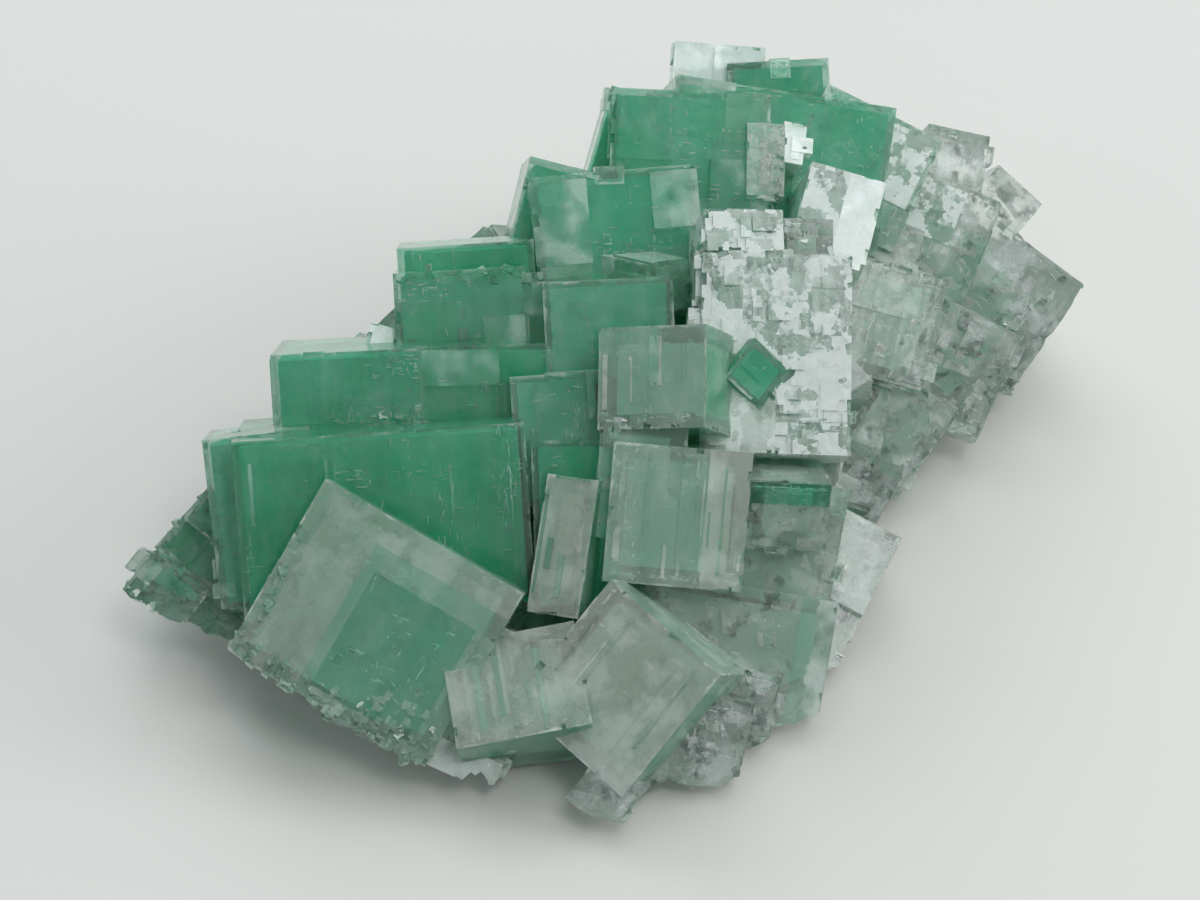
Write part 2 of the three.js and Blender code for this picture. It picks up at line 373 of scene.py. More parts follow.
# meshes as objects in a collection of their own, for one boolean
def gather(name, meshes):
    group = bpy.data.collections.new(name)
    scene.collection.children.link(group)
    for data in meshes:
        group.objects.link(bpy.data.objects.new(data.name, data))
    return group


# the object's mesh as its modifiers leave it, kept as a plain mesh
def applied(obj):
    bpy.context.view_layer.update()
    result = bpy.data.meshes.new_from_object(obj.evaluated_get(bpy.context.evaluated_depsgraph_get()))
    obj.modifiers.clear()
    old = obj.data
    obj.data = result
    result.name = obj.name
    bpy.data.meshes.remove(old)


# one boolean with everything in the group, made real, and the group removed
def combine(obj, group, operation):
    step = obj.modifiers.new(operation.lower(), "BOOLEAN")
    step.operand_type = "COLLECTION"
    step.collection = group
    step.operation = operation
    step.solver = "MANIFOLD"
    applied(obj)
    for other in list(group.objects):
        spare = other.data
        bpy.data.objects.remove(other)
        bpy.data.meshes.remove(spare)
    bpy.data.collections.remove(group)


# meshes that overlap, grown into one closed piece
def joined(name, meshes):
    obj = bpy.data.objects.new(name, meshes[0])
    scene.collection.objects.link(obj)
    if len(meshes) > 1:
        combine(obj, gather(name + " parts", meshes[1:]), "UNION")
    return obj


# what grows on or is chipped from each crystal, in mm
growth = {
    "plateThick": (0.06, 0.24),
    "plateShare": (0.3, 0.92),
    "plateGap": (0.15, 0.9),
    "sunk": 1.5,
    "terraceArea": 110,
    "terraceThick": (0.3, 0.95),
    "cubeSize": (0.8, 2.4),
    "cubesPerMm": 0.05,
    "cellSize": 1.7,
    "cellsMissing": 0.45,
    "cellProud": (0.08, 0.45),
    "notchesPerMm": 0.22,
    "notchLong": (0.5, 2.6),
    "notchDeep": (0.12, 0.5),
    "crustSize": (0.1, 0.5),
    "crustProud": (0.02, 0.34),
    "crustTurn": 28,
    "crustCount": 2.2,
    "striaHalf": (0.07, 0.32),
    "striaProud": (0.03, 0.12),
    "patchStep": 0.035,
}
seeds = {"skin": 700, "notches": 2100, "slivers": 4400}

# front crystals, by number, whose outer faces stay plain but for their own patches
plainFaces = (5, 6, 14, 25, 30, 33, 35, 36, 37, 40, 41, 42)


# thin growth plates on the outer face and the sides, and the square cells of a mosaic face
def plates(number, place, size, habit, chance):
    width, height, depth = size
    made = []
    look = habits[habit]

    for k in range(0 if number in plainFaces else look["plates"]):
        thick = chance.uniform(*growth["plateThick"])
        w, h = (chance.uniform(*growth["plateShare"]) * s for s in (width, height))
        gap = chance.uniform(*growth["plateGap"])
        x = chance.choice((-1, 1)) * max(0, (width - w) / 2 - gap)
        y = chance.choice((-1, 1)) * max(0, (height - h) / 2 - gap)
        frost = look["frost"] + chance.uniform(-0.08, 0.14)
        etch = look["etch"] + chance.uniform(-0.1, 0.1)
        tone = (frost, etch, look["specksAndDarkRefraction"], chance.random())
        tints = tintsOf(habit, chance)
        low, high = (x - w / 2, y - h / 2, -growth["sunk"]), (x + w / 2, y + h / 2, thick)
        made.append(blockMesh(f"plate {number} {k}", place, low, high, tone, tints, noRim))
        side = chance.choice((-1, 1))
        d = chance.uniform(0.4, 0.9) * depth
        thick = chance.uniform(*growth["plateThick"])
        edge = (width if k % 2 else height) / 2
        near, far = sorted((side * (edge - 1), side * (edge + thick)))
        if k % 2:
            low, high = (near, y - h / 2, -d), (far, y + h / 2, -gap)
        else:
            low, high = (x - w / 2, near, -d), (x + w / 2, far, -gap)
        made.append(blockMesh(f"side {number} {k}", place, low, high, tone, tints, noRim))
    if habit == "mosaic":
        cell = growth["cellSize"]
        for i in range(int(width / cell)):
            for j in range(int(height / cell)):
                if chance.random() < growth["cellsMissing"]:
                    continue
                x = -width / 2 + (i + 0.5 + chance.uniform(-0.25, 0.25)) * cell
                y = -height / 2 + (j + 0.5 + chance.uniform(-0.25, 0.25)) * cell
                w, h = (cell * chance.uniform(0.3, 0.8) for _ in range(2))
                x = max(-width / 2 + w, min(width / 2 - w, x))
                y = max(-height / 2 + h, min(height / 2 - h, y))
                tone = (0.3, 1, 0, chance.random())
                proud = chance.uniform(*growth["cellProud"])
                low, high = (x - w, y - h, -growth["sunk"]), (x + w, y + h, proud)
                tints = tintsOf(habit, chance)
                made.append(blockMesh(f"cell {number} {i} {j}", place, low, high, tone, tints, noRim))
    return made


# thicker steps that reach a face's edge
def terraces(number, place, size, habit, chance):
    width, height, depth = size
    made = []
    count = 0 if number in plainFaces else min(3, int(width * height / growth["terraceArea"]))
    for k in range(count):
        w, h = width * chance.uniform(0.18, 0.5), height * chance.uniform(0.18, 0.6)
        x = chance.choice((-1, 1)) * ((width - w) / 2 - chance.uniform(-0.35, 0.5))
        y = chance.choice((-1, 1)) * ((height - h) / 2 - chance.uniform(-0.35, 0.5))
        thick = chance.uniform(*growth["terraceThick"])
        tone = lookOf(habit, chance, -0.05, 0.08)
        low, high = (x - w / 2, y - h / 2, -depth * 0.6), (x + w / 2, y + h / 2, thick)
        made.append(blockMesh(f"terrace {number} {k}", place, low, high, tone, tintsOf(habit, chance)))
    return made


# small cubes along the edges of the outer face
def cubelets(number, place, size, habit, chance):
    width, height, depth = size
    made = []
    count = round((width + height) * 2 * growth["cubesPerMm"] * (0.5 + habits[habit]["etch"]))
    for k in range(count):
        s = chance.uniform(*growth["cubeSize"])
        onSide = chance.random() < height / (width + height)
        along = chance.uniform(-0.5, 0.5)
        side = chance.choice((-1, 1))
        sink = -s * chance.uniform(0.3, 0.9)
        inside = s * chance.uniform(0.15, 0.42)
        if onSide:
            at = (side * (width / 2 - inside), along * (height - s), sink)
        else:
            at = (along * (width - s), side * (height / 2 - inside), sink)
        turn = Matrix.Rotation(math.radians(chance.uniform(-5, 5)), 4, chance.choice("XYZ"))
        half = s / 2
        tone = lookOf(habit, chance, 0, 0.3)
        stretch = chance.uniform(0.8, 1.6)
        spot = place @ Matrix.Translation(at) @ turn
        low, high = (-half * stretch, -half, -half), (half * stretch, half, half)
        made.append(blockMesh(f"cube {number} {k}", spot, low, high, tone, tintsOf(habit, chance, 0.2)))
    return made


# what is chipped from the edges
def notches(number, place, size, habit, chance):
    width, height, depth = size
    made = []
    around = (width + height + depth * 0.5) * 2
    count = round(around * growth["notchesPerMm"] * (0.6 + habits[habit]["etch"]))
    for k in range(count):
        long = chance.uniform(*growth["notchLong"]) * chance.uniform(0.5, 1)
        deep = chance.uniform(*growth["notchDeep"])
        pick = chance.random()
        sideX, sideY = chance.choice((-1, 1)), chance.choice((-1, 1))
        if pick < 0.36:
            at, half = (sideX * width / 2, chance.uniform(-0.5, 0.5) * height, 0), (deep, long / 2, deep)
        elif pick < 0.72:
            at, half = (chance.uniform(-0.5, 0.5) * width, sideY * height / 2, 0), (long / 2, deep, deep)
        else:
            down = -chance.random() * depth * 0.7
            at, half = (sideX * width / 2, sideY * height / 2, down), (deep, deep, long / 2)
        turn = Matrix.Rotation(math.radians(chance.uniform(-24, 24)), 4, chance.choice("XYZ"))
        half = Vector(h * chance.uniform(0.7, 1.3) for h in half)
        spot = place @ Matrix.Translation(at) @ turn
        tone = (chance.uniform(0.1, 0.55), 0.3, 0, chance.random())
        tints = tintsOf(habit, chance, 0.5)
        made.append(blockMesh(f"notch {number} {k}", spot, -half, half, tone, tints, noRim))
    return made


# areas of a front crystal's face that differ from the rest of it: x and y reach, habit
patches = {
    6: [((-3.6, 11), (-9.5, 6.6), "jade"), ((-2.4, 8.8), (-8.2, 4.2), "green")],
    20: [((1, 6.4), (-2, 6), "mosaic")],
    49: [((-6, 1), (-7, 3), "grey")],
    52: [((-5.5, 2), (0, 6.1), "mosaic")],
    43: [((-8, -2.5), (-8.5, 4), "pale")],
    16: [((-8.4, -3), (-7.6, 7.6), "pale")],
    18: [((3.6, 8.4), (-7.4, 7.4), "pale")],
    33: [((2.6, 6.7), (-6.7, 6.7), "satin")],
    42: [((6, 9.4), (-6.2, 6.2), "pale")],
    38: [((-3.9, 3.9), (1.2, 3.4), "deep")],
    25: [((-4, 0.2), (-5, 5), "mosaic")],
}


# rough crusts of small cubes on front crystals: x and y reach, how many, habit
crusts = {
    0: [((-7, 2), (-4, 0), 16, "moss")],
    1: [((-3.5, 3.5), (-3, 3), 14, "moss"), ((-3.5, 0), (-3, -1), 5, "bright")],
    2: [((-4.7, 0), (-4, 4), 10, "moss")],
    6: [
        ((-11, 9), (-9.7, -7.4), 40, "pale"),
        ((3, 11), (-9.6, -5), 20, "jade"),
        ((-10.8, -9.4), (-9, 4), 12, "jade"),
    ],
    7: [((-9, 9), (-7.5, 1), 60, "jade")],
    42: [((-9, 2), (-6.3, -4), 14, "grey")],
    44: [((-4.5, 4.5), (-4.5, 4.5), 22, "clear")],
    45: [((-4, 4), (-3.7, 3.7), 18, "clear")],
    49: [((3, 6.7), (-7.5, 7.5), 16, "clear")],
    50: [((1, 5.7), (-6.5, 6.5), 14, "clear")],
    51: [((-1, 4.7), (-5.7, 5.7), 14, "grey")],
    8: [((-2, 7.4), (-4.7, -1), 16, "green")],
    12: [((-6.7, 6), (3.2, 4.7), 12, "green")],
    27: [((-2.5, 2.5), (-2, 2), 8, "bright")],
}

# front crystals ruled with fine upright growth lines: how many, and the habits they vary between
striae = {
    33: (24, ("pale", "satin", "jade")),
    34: (12, ("pale", "jade")),
    30: (8, ("pale", "satin")),
    5: (10, ("green", "deep")),
    35: (5, ("satin", "jade")),
    40: (9, ("satin", "satinInPaintedShade")),
    41: (7, ("satinInPaintedShade", "jade")),
    9: (9, ("green", "deep")),
    16: (9, ("pale", "green")),
    19: (12, ("green", "pale", "deep")),
}


# the crusts and growth lines of one crystal's outer face
def faceDetail(number, place, size, chance):
    made = []
    for xs, ys, count, habit in crusts.get(number, []):
        for k in range(round(count * growth["crustCount"])):
            half = [chance.uniform(*growth["crustSize"]) for _ in range(2)]
            at = (chance.uniform(*xs), chance.uniform(*ys), 0)
            axis = Vector(chance.uniform(-1, 1) for _ in range(3))
            turn = math.radians(chance.gauss(0, growth["crustTurn"]))
            turn = Matrix.Rotation(turn, 4, axis.normalized())
            tone = lookOf(habit, chance, -0.05, 0.15)
            proud = chance.uniform(*growth["crustProud"])
            low, high = (-half[0], -half[1], -1.2), (half[0], half[1], proud)
            spot = place @ Matrix.Translation(at) @ turn
            made.append(blockMesh(f"crust {number} {k}", spot, low, high, tone, tintsOf(habit, chance), 0.4))
    count, kinds = striae.get(number, (0, ()))
    for k in range(count):
        habit = chance.choice(kinds)
        half = chance.uniform(*growth["striaHalf"])
        x = chance.uniform(-size[0] / 2 + half + 0.2, size[0] / 2 - half - 0.2)
        ends = sorted(chance.uniform(-size[1] / 2 + 0.1, size[1] / 2 - 0.1) for _ in range(2))
        tone = lookOf(habit, chance, -0.1, 0.2)
        low, high = (x - half, ends[0], -1), (x + half, ends[1], chance.uniform(*growth["striaProud"]))
        made.append(blockMesh(f"stria {number} {k}", place, low, high, tone, tintsOf(habit, chance), noRim))
    return made


# patches lie almost flush, each just over the one before and over any growth plate
def facePatches(number, place, chance):
    made = []
    under = 0 if number in plainFaces else growth["plateThick"][1]
    for k, (xs, ys, habit) in enumerate(patches.get(number, [])):
        proud = growth["patchStep"] * (k + 1) + under
        low, high = (xs[0], ys[0], -growth["sunk"]), (xs[1], ys[1], proud)
        tone = lookOf(habit, chance)
        made.append(blockMesh(f"patch {number} {k}", place, low, high, tone, tintsOf(habit), noRim))
    return made


# every crystal's slope, place, size and habit, the front ones first
allCrystals = [
    (slope, placeOf(slope, at, tip), size, habit)
    for slope, crystals in (
        ("front", frontCrystals),
        ("backLeft", backLeftCrystals),
        ("backRight", backRightCrystals),
        ("front", rootCrystals),
    )
    for at, size, tip, habit in crystals
]


# every crystal with all that grows on it
def skinMeshes():
    made = []
    for number, (slope, place, size, habit) in enumerate(allCrystals):
        chance = random.Random(seeds["skin"] + number)
        width, height, depth = size
        tone = lookOf(habit, chance)
        low, high = (-width / 2, -height / 2, -depth), (width / 2, height / 2, 0)
        made.append(blockMesh(f"crystal {number}", place, low, high, tone, tintsOf(habit, chance)))
        crystal = (number, place, size, habit, chance)
        made += plates(*crystal) + terraces(*crystal)
        if slope == "front" and depth < rootDepth:
            made += facePatches(number, place, chance) + faceDetail(number, place, size, chance)
        if depth < rootDepth and number not in plainFaces:
            made += cubelets(*crystal)
    return made


# what is chipped from every crystal but the old ones underneath
def notchMeshes():
    made = []
    for number, (slope, place, size, habit) in enumerate(allCrystals):
        if size[2] < rootDepth:
            chance = random.Random(seeds["notches"] + number)
            made += notches(number, place, size, habit, chance)
    return made


# how high the breaks cut at a place, in mm, as in the CAD
def breakHeight(x, y, lift=0.0):
    height = -100.0
    for at, facing in breaks:
        across = (x + middle.x - at[0]) * facing[0] + (y + middle.y - at[1]) * facing[1]
        height = max(height, at[2] + across / -facing[2])
    return height + lift


# the broken underside, in mm: its mesh, how far out and down it reaches, the same of the plain cut,
# and the sizes and heights of its coarse and fine steps and its grain
underside = {
    "rough": (0.9, 62),
    "plain": (6, 66),
    "down": 90,
    "sizes": (4.1, 1.7, 0.9),
    "heights": (0.9, 0.5, 0.2),
}


# everything under the breaks as one closed body: stepped and rough for the outside, plain for the
# colour zones, which end a little above it
def breakMesh(name, rough=True, lift=0.0):
    step, reach = underside["rough" if rough else "plain"]
    down = underside["down"]
    coarseMm, fineMm, grainMm = underside["sizes"]
    coarseUp, fineUp, grainUp = underside["heights"]
    count = int(2 * reach / step) + 1
    points = []
    for j in range(count):
        for i in range(count):
            x, y = -reach + i * step, -reach + j * step
            height = breakHeight(x, y, lift)
            if rough:
                spot = Matrix.Rotation(0.5, 3, "Z") @ Vector((x, y, height * 0.8))
                coarse = coarseUp * max(0, noise.cell(spot / coarseMm))
                fine = fineUp * max(0, noise.cell(spot / fineMm + Vector((7, 3, 5))))
                height += coarse + fine + grainUp * abs(noise.noise(spot / grainMm))
            points.append(Vector((x, y, min(height, down))) * mm)
    total = len(points)
    points += [Vector((p.x, p.y, -down * mm)) for p in points]
    faces = []
    for j in range(count - 1):
        for i in range(count - 1):
            a = j * count + i
            b, c, d = a + 1, a + count + 1, a + count
            faces.append((a, b, c, d))
            faces.append((total + d, total + c, total + b, total + a))
    rim = list(range(count))
    rim += [j * count + count - 1 for j in range(1, count)]
    rim += [(count - 1) * count + i for i in range(count - 2, -1, -1)]
    rim += [j * count for j in range(count - 2, 0, -1)]
    for a, b in zip(rim, rim[1:] + rim[:1]):
        faces.append((b, a, total + a, total + b))
    data = bpy.data.meshes.new(name)
    data.from_pydata(points, [], faces)
    loops = len(data.loops)
    rock = [*linear("#6fa98f")[:3], 0.5]
    carry(data, [0.0] * (2 * loops), [9.0] * (2 * loops), [0.5, 0.8, 0, 0.5] * loops, rock * loops)
    return data


# the skin's patterns: grain in mm, detail and roughness, the band of it that shows, how strongly
skinPatterns = {
    "edgeGap": (5, 2, 0.55, 0.42, 0.6, 0.15, 1),
    "ragged": (1.6, 4, 0.7, 0, 1, -0.8, 0.8),
    "fine": (0.9, 4, 0.7, 0.38, 0.68, 0, 1),
    "soft": (9, 3, 0.5, 0.35, 0.68, 0, 1),
    "clumps": (4.4, 4, 0.6, 0.49, 0.6, 0, 1),
    "drift": (18, 3, 0.5, 0.36, 0.66, 0, 0.35),
    "mottle": (3.4, 5, 0.6, 0.38, 0.68, 0, 0.26),
    "dark": (1.9, 5, 0.72, 0.56, 0.6, 0, 1),
}
skinTones = {
    "drift": "#22ac85",
    "streak": "#dfe9e1",
    "mottle": "#dde3da",
    # paler rims: partly edge frost, partly painted edge brightness from refraction
    "rim": "#d9e2d9",
    # dark specks: partly rock, partly painted dark refraction of the surroundings in clear crystals
    "specksAndDarkRefraction": "#1f2e28",
    "frost": "#f5f8f7",
}


# fluorite as it grew and cleaved: clear glassy faces with frosted etch squares, paler rims that are partly
# frost and partly painted brightness of light refracted at the edges, and dark specks, partly rock and
# partly painted dark refraction of the surroundings, so that the green inside shows through a skin that
# still catches the light
def fluoriteSkin():
    material, tree = newMaterial("fluorite, grown and cleaved faces")
    look = add(tree, "ShaderNodeAttribute", attribute_name="look", attribute_type="GEOMETRY")
    parts = add(tree, "ShaderNodeSeparateColor", {"Color": look}).outputs
    frost, etch, specksAndDarkRefractionShare = parts["Red"], parts["Green"], parts["Blue"]
    tint = add(tree, "ShaderNodeAttribute", attribute_name="tint", attribute_type="GEOMETRY")
    place = add(tree, "ShaderNodeTexCoord").outputs["Object"]
    face = add(tree, "ShaderNodeUVMap", uv_map="faceMm")
    half = add(tree, "ShaderNodeUVMap", uv_map="halfMm")

    cloud = {}
    for name, (grain, detail, rough, low, high, weak, strong) in skinPatterns.items():
        settings = {"Vector": place, "Scale": 1 / (grain * mm), "Detail": detail, "Roughness": rough}
        band = {"Value": add(tree, "ShaderNodeTexNoise", settings), "From Min": low, "From Max": high}
        cloud[name] = add(tree, "ShaderNodeMapRange", {**band, "To Min": weak, "To Max": strong})

    # how far from the nearest edge of its own face, in mm
    absolute = add(tree, "ShaderNodeVectorMath", {0: face}, operation="ABSOLUTE")
    inward = add(tree, "ShaderNodeVectorMath", {0: half, 1: absolute}, operation="SUBTRACT")
    split = add(tree, "ShaderNodeSeparateXYZ", {0: inward}).outputs
    edgeMm = add(tree, "ShaderNodeMath", {0: split[0], 1: split[1]}, operation="MINIMUM")
    raggedMm = add(tree, "ShaderNodeMath", {0: edgeMm, 1: cloud["ragged"]}, operation="ADD")
    worn = add(tree, "ShaderNodeMapRange", {"Value": raggedMm, "From Min": 0.3, "From Max": 0.02})
    edge = add(tree, "ShaderNodeMath", {0: worn, 1: cloud["edgeGap"]}, operation="MULTIPLY")
    # a paler band along each face's edges: partly edge frost, partly painted brightness of light refracted
    # at the edges
    rimMm = add(tree, "ShaderNodeMath", {0: cloud["soft"], 1: 1.2, 2: edgeMm}, operation="MULTIPLY_ADD")
    rim = add(tree, "ShaderNodeMapRange", {"Value": rimMm, "From Min": 2.8, "From Max": 0.9, "To Max": 0.3})

    # etched cells: squares that switch on together in jagged clusters
    square = {"voronoi_dimensions": "2D", "distance": "CHEBYCHEV"}
    cells, shown = [], []
    for size, cluster, detail, rough in ((1.1, 4.2, 2, 0.6), (0.42, 2.6, 3, 0.7)):
        settings = {"Vector": face, "Randomness": 0.85, "Scale": 1 / size}
        cells.append(add(tree, "ShaderNodeTexVoronoi", settings, **square).outputs)
        spots = {"Vector": cells[-1]["Position"], "Scale": 1 / cluster, "Detail": detail}
        shown.append(add(tree, "ShaderNodeTexNoise", {**spots, "Roughness": rough}))
    clusters = add(tree, "ShaderNodeMix", {0: 0.4, 2: shown[0], 3: shown[1]}, data_type="FLOAT")
    on = add(tree, "ShaderNodeMapRange", {"Value": clusters, "From Min": 0.47, "From Max": 0.5})
    depth = add(tree, "ShaderNodeMapRange", {"Value": etch, "From Min": 0.3, "From Max": 1})
    etched = add(tree, "ShaderNodeMath", {0: on, 1: depth}, operation="MULTIPLY")

    # haze: how white and how dull each place is
    cover = 0.15
    for layer, strength in ((cloud["soft"], 0.5), (cloud["clumps"], 0.6), (cloud["fine"], 0.16)):
        cover = add(tree, "ShaderNodeMath", {0: layer, 1: strength, 2: cover}, operation="MULTIPLY_ADD")
    frosted = add(tree, "ShaderNodeMath", {0: frost, 1: cover}, operation="MULTIPLY")
    grain = add(tree, "ShaderNodeMath", {0: cloud["fine"], 1: 0.25, 2: 0.72}, operation="MULTIPLY_ADD")
    squares = add(tree, "ShaderNodeMath", {0: etched, 1: grain}, operation="MULTIPLY")
    haze = add(tree, "ShaderNodeMath", {0: frosted, 1: squares}, operation="MAXIMUM")
    edgeHaze = add(tree, "ShaderNodeMath", {0: edge, 1: 0.62}, operation="MULTIPLY")
    haze = add(tree, "ShaderNodeMath", {0: haze, 1: edgeHaze}, operation="MAXIMUM", use_clamp=True)

    # colour: the crystal's own tint, then each layer over it
    stretched = add(tree, "ShaderNodeMapping", {"Vector": face, "Scale": (0.5, 0.07, 1)})
    settings = {"Vector": stretched, "Scale": 1, "Detail": 4, "Roughness": 0.6}
    settings = {"Value": add(tree, "ShaderNodeTexNoise", settings), "From Min": 0.4, "From Max": 0.66}
    greening = add(tree, "ShaderNodeMath", {0: 1, 1: specksAndDarkRefractionShare}, operation="SUBTRACT")
    share = {
        "drift": add(tree, "ShaderNodeMath", {0: cloud["drift"], 1: greening}, operation="MULTIPLY"),
        "streak": add(tree, "ShaderNodeMapRange", {**settings, "To Max": 0.35}),
        "mottle": cloud["mottle"],
        "rim": rim,
        "specksAndDarkRefraction": add(tree, "ShaderNodeMath", {0: cloud["dark"], 1: specksAndDarkRefractionShare}, operation="MULTIPLY"),
        "frost": add(tree, "ShaderNodeMath", {0: haze, 1: 0.9}, operation="MULTIPLY"),
    }
    body = tint
    for name, tone in skinTones.items():
        layer = {"Factor": share[name], 6: body, 7: linear(tone)}
        body = add(tree, "ShaderNodeMix", layer, data_type="RGBA").outputs[2]

    # growth lines, etch squares and grain stand a few hundredths of a millimetre proud
    settings = {"Vector": face, "Scale": 0.3, "Distortion": 3, "Detail": 3, "Detail Scale": 0.6}
    lines = add(tree, "ShaderNodeTexWave", settings, wave_type="BANDS", bands_direction="X").outputs["Fac"]
    relief = add(tree, "ShaderNodeMath", {0: lines, 1: 0.1}, operation="MULTIPLY")
    cellTone = add(tree, "ShaderNodeSeparateColor", {"Color": cells[0]["Color"]})
    cellTone = add(tree, "ShaderNodeMath", {0: cellTone, 1: etch}, operation="MULTIPLY")
    for height, strength in ((cloud["fine"], 0.2), (cellTone, 0.8), (etched, 0.5)):
        relief = add(tree, "ShaderNodeMath", {0: height, 1: strength, 2: relief}, operation="MULTIPLY_ADD")

    polish = add(tree, "ShaderNodeMath", {0: cloud["fine"], 1: 0.04, 2: 0.035}, operation="MULTIPLY_ADD")
    veil = {0: haze, 1: -0.45, 2: tint.outputs["Alpha"]}
    settings = {
        "Base Color": body,
        "Roughness": add(tree, "ShaderNodeMath", {0: haze, 1: 0.34, 2: polish}, operation="MULTIPLY_ADD"),
        "Transmission Weight": add(tree, "ShaderNodeMath", veil, operation="MULTIPLY_ADD", use_clamp=True),
        "IOR": 1.434,
        "Normal": add(tree, "ShaderNodeBump", {"Height": relief, "Strength": 0.3, "Distance": 0.2 * mm}),
    }
    shader = add(tree, "ShaderNodeBsdfPrincipled", settings)
    bulk = add(tree, "ShaderNodeVolumeAbsorption", {"Color": linear("#a5cdbc"), "Density": 3.5})
    add(tree, "ShaderNodeOutputMaterial", {"Surface": shader, "Volume": bulk})
    return material


# fluorite coloured as it grew: a glowing green, cloudy body with pale wisps, seen through the skin
def greenHeart(name, deep, light, clear, colour, density):
    material, tree = newMaterial(name)
    place = add(tree, "ShaderNodeTexCoord").outputs["Object"]
    body = linear(deep)
    # over the deep tone: a tone, its grain in mm, detail, roughness, swirl, and the band that shows
    for tone, grain, detail, rough, swirl, low, high, most in (
        (light, 7, 5, 0.62, 0, 0.34, 0.66, 1),
        ("#e2f3ea", 5, 7, 0.7, 0.8, 0.55, 0.72, 0.5),
    ):
        settings = {"Vector": place, "Scale": 1 / (grain * mm), "Detail": detail, "Roughness": rough}
        cloud = add(tree, "ShaderNodeTexNoise", {**settings, "Distortion": swirl})
        settings = {"Value": cloud, "From Min": low, "From Max": high, "To Max": most}
        settings = {"Factor": add(tree, "ShaderNodeMapRange", settings), 6: body, 7: linear(tone)}
        body = add(tree, "ShaderNodeMix", settings, data_type="RGBA").outputs[2]
    settings = {"Base Color": body, "Roughness": 0.3, "Transmission Weight": clear, "IOR": 1.0}
    shader = add(tree, "ShaderNodeBsdfPrincipled", settings)
    tint = add(tree, "ShaderNodeVolumeAbsorption", {"Color": linear(colour), "Density": density})
    add(tree, "ShaderNodeOutputMaterial", {"Surface": shader, "Volume": tint})
    return material


# flat faces, its material and the body it rides on
def finish(obj, material):
    obj.data.materials.clear()
    obj.data.materials.append(material)
    obj.data.shade_flat()
    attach(obj, "root")


crystals = joined("fluorite_crystals", skinMeshes())
print("crystals grown together:", len(crystals.data.polygons), "faces")
for stage, meshes in (("edges chipped", notchMeshes()), ("broken off its base", [breakMesh("break")])):
    combine(crystals, gather(stage, meshes), "DIFFERENCE")
    print(stage + ":", len(crystals.data.polygons), "faces")
finish(crystals, fluoriteSkin())
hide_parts("crystal_cluster")

# the green zones sealed in the crystals: mm in from the faces, deeper and lighter tone, how clear,
# and what the body absorbs, by colour and per metre
hearts = {
    "emerald": (0.7, "#1fd0a4", "#66eac6", 0.25, "#58cfae", 26.0),
    "soft": (1.6, "#9fe0c6", "#c8eadb", 0.4, "#8fd4b8", 20.0),
}


def makeHearts(kind):
    inset, deep, light, clear, colour, density = hearts[kind]
    meshes = []
    for slope, place, size, habit in allCrystals:
        width, height, depth = size
        if habits[habit]["heart"] != kind or depth > rootDepth or min(width, height) < 2 * inset + 0.6:
            continue
        low = (-width / 2 + inset, -height / 2 + inset, -depth + inset)
        high = (width / 2 - inset, height / 2 - inset, -inset)
        meshes.append(blockMesh("heart", place, low, high, (0, 0, 0, 0), [(1, 1, 1, 1)] * 6))
    zone = joined(kind + "_zones", meshes)
    combine(zone, gather("break under " + kind, [breakMesh("zone break", False, 2.6)]), "DIFFERENCE")
    print(kind, "zones:", len(zone.data.polygons), "faces")
    finish(zone, greenHeart(kind + " zone in fluorite", deep, light, clear, colour, density))


for kind in hearts:
    makeHearts(kind)

# cracks run in steps along the cleavage; glints crowd beside them (sizes in mm, turns in degrees)
cleavage = {
    "walksPerMm2": 0.015,
    "stride": (0.5, 2.8),
    "spacing": 0.5,
    "missing": 0.4,
    "flakesPerMm2": 0.07,
    "margin": 0.7,
    "aboveBreak": 2.2,
    "crack": {"Least": (0.14, 0.05, 0.06), "Most": (0.8, 0.12, 0.3), "Sway": (3, 3, 12), "Seed": 11},
    "glint": {"Least": (0.1, 0.04, 0.03), "Most": (0.95, 0.16, 0.07), "Sway": (32, 14, 13), "Seed": 23},
    "veil": {"Least": (0.5, 0.3, 0.02), "Most": (2.6, 1.5, 0.04), "Sway": (38, 38, 20), "Seed": 37},
    "veilsPerMm2": {"clear": 0.16, "grey": 0.1, "frosty": 0.05, "satin": 0.03, "satinInPaintedShade": 0.03, "moss": 0.05},
}

